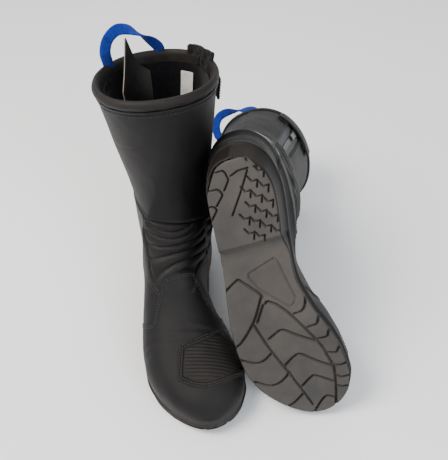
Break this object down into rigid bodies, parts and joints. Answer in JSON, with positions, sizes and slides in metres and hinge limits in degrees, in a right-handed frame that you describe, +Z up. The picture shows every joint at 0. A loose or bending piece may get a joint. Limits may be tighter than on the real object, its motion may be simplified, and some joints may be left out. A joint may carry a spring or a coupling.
{
  "type": "pair of touring motorcycle boots",
  "caption": "Pair of tall leather motorcycle boots: one standing, one tipped on its toe with the tread in view; zip with hook-and-loop tab, webbing pull loops.",
  "frame": {"origin": "on the ground under the standing boot's ankle, on the flat underside of its heel tread", "axes": "+Z up, the standing boot's toe points to -Y, the tipped boot lies to +X"},
  "size_m": [0.2524, 0.4378, 0.344],
  "materials": {
    "tread_rubber": "moulded matte",
    "midsole_rubber": "satin side wall",
    "black_leather": "smooth oiled grain",
    "pad_leather": "embossed grain",
    "flex_leather": "padded ribs",
    "gusset_textile": "ballistic weave",
    "lining_textile": "satin lining",
    "reflective_strip": "retroreflective",
    "blue_webbing": "woven webbing",
    "zip_metal": "black enamel",
    "zip_fabric": "woven tape",
    "hook_and_loop": "hook and loop pile",
    "shank_steel": "rolled strip",
    "fibre_board": "pressed fibre",
    "stiffener_plastic": "thermoplastic sheet",
    "footbed_foam": "covered foam",
    "shaper_sheet": "thin sheet, pale cut edge",
    "label_cloth": "blank care label"
  },
  "bodies": {
    "right_foot": {"right_outsole": "tread_rubber", "right_midsole": "midsole_rubber", "right_insole_board": "fibre_board", "right_shank": "shank_steel", "right_footbed": "footbed_foam", "right_toe_cap": "stiffener_plastic", "right_heel_counter": "stiffener_plastic", "right_vamp": "black_leather", "right_medial_quarter": "black_leather", "right_lateral_quarter": "black_leather", "right_shift_pad": "pad_leather", "right_reflector": "reflective_strip", "right_foot_lining": "lining_textile", "right_flex_panel": "flex_leather", "right_gusset": "gusset_textile", "right_ankle_lining": "lining_textile"},
    "right_leg": {"right_shin_panel": "black_leather", "right_calf_panel": "black_leather", "right_collar": "black_leather", "right_leg_lining": "lining_textile", "right_shin_guard": "stiffener_plastic", "right_zip_tape": "zip_fabric", "right_zip_teeth": "zip_metal", "right_loop_patch": "hook_and_loop", "right_care_label": "label_cloth"},
    "right_tab": {"right_closure_tab": "black_leather", "right_hook_patch": "hook_and_loop"},
    "right_slider": {"right_zip_slider": "zip_metal"},
    "right_puller": {"right_zip_puller": "zip_metal"},
    "right_loop": {"right_pull_loop": "blue_webbing"},
    "left_foot": {"left_outsole": "tread_rubber", "left_midsole": "midsole_rubber", "left_insole_board": "fibre_board", "left_shank": "shank_steel", "left_footbed": "footbed_foam", "left_toe_cap": "stiffener_plastic", "left_heel_counter": "stiffener_plastic", "left_vamp": "black_leather", "left_medial_quarter": "black_leather", "left_lateral_quarter": "black_leather", "left_shift_pad": "pad_leather", "left_reflector": "reflective_strip", "left_foot_lining": "lining_textile", "left_flex_panel": "flex_leather", "left_gusset": "gusset_textile", "left_ankle_lining": "lining_textile"},
    "left_leg": {"left_shin_panel": "black_leather", "left_calf_panel": "black_leather", "left_collar": "black_leather", "left_leg_lining": "lining_textile", "left_shin_guard": "stiffener_plastic", "left_zip_tape": "zip_fabric", "left_zip_teeth": "zip_metal", "left_loop_patch": "hook_and_loop"},
    "left_tab": {"left_closure_tab": "black_leather", "left_hook_patch": "hook_and_loop"},
    "left_slider": {"left_zip_slider": "zip_metal"},
    "left_puller": {"left_zip_puller": "zip_metal"},
    "left_loop": {"left_pull_loop": "blue_webbing"},
    "leg_shaper": {"right_leg_shaper": "shaper_sheet"}
  },
  "joints": [
    {"name": "right_ankle_flex", "type": "hinge", "parent": "right_foot", "child": "right_leg", "pos_m": [-0.00044, 0.00498, 0.108], "axis": [0.996, 0.0889, 0], "range_deg": [-14, 0], "stiffness_Nm_per_rad": 25, "deforming": ["right_flex_panel", "right_gusset", "right_ankle_lining"]},
    {"name": "right_zip_travel", "type": "slide", "parent": "right_leg", "child": "right_slider", "axis": [-0.1263, -0.0113, -0.9919], "range_m": [0, 0.087]},
    {"name": "right_puller_swing", "type": "hinge", "parent": "right_slider", "child": "right_puller", "pos_m": [0.04945, 0.0349, 0.2533], "axis": [0.3627, -0.9312, -0.0356], "range_deg": [0, 100]},
    {"name": "right_tab_open", "type": "hinge", "parent": "right_leg", "child": "right_tab", "pos_m": [0.05995, -0.00286, 0.2718], "axis": [-0.1319, -0.0126, -0.9912], "range_deg": [0, 85]},
    {"name": "right_loop_fold", "type": "hinge", "parent": "right_leg", "child": "right_loop", "pos_m": [-0.0249, 0.054, 0.30091], "axis": [0.8551, 0.5131, -0.0745], "range_deg": [-70, 40], "stiffness_Nm_per_rad": 0.05},
    {"name": "left_ankle_flex", "type": "hinge", "parent": "left_foot", "child": "left_leg", "pos_m": [0.09648, -0.02151, 0.16566], "axis": [-0.965, 0, -0.2622], "range_deg": [-10, 8], "stiffness_Nm_per_rad": 25, "deforming": ["left_flex_panel", "left_gusset", "left_ankle_lining"]},
    {"name": "left_zip_travel", "type": "slide", "parent": "left_leg", "child": "left_slider", "axis": [-0.2431, -0.8786, 0.411], "range_m": [0, 0.087]},
    {"name": "left_puller_swing", "type": "hinge", "parent": "left_slider", "child": "left_puller", "pos_m": [0.1588, 0.11897, 0.136], "axis": [-0.4873, 0.4769, 0.7315], "range_deg": [0, 100]},
    {"name": "left_tab_open", "type": "hinge", "parent": "left_leg", "child": "left_tab", "pos_m": [0.17685, 0.11747, 0.09663], "axis": [0.2482, 0.8784, -0.4085], "range_deg": [0, 110]},
    {"name": "left_loop_fold", "type": "hinge", "parent": "left_leg", "child": "left_loop", "pos_m": [0.08881, 0.17303, 0.11762], "axis": [-0.7558, -0.1359, -0.6405], "range_deg": [-12, 12], "stiffness_Nm_per_rad": 0.05},
    {"name": "shaper_lift", "type": "slide", "parent": "right_leg", "child": "leg_shaper", "axis": [0, 0, 1], "range_m": [0, 0.22]},
    {"name": "left_boot_slide", "type": "slide", "parent": "right_foot", "child": "left_foot", "axis": [1, 0, 0], "range_m": [0, 0.25]}
  ]
}
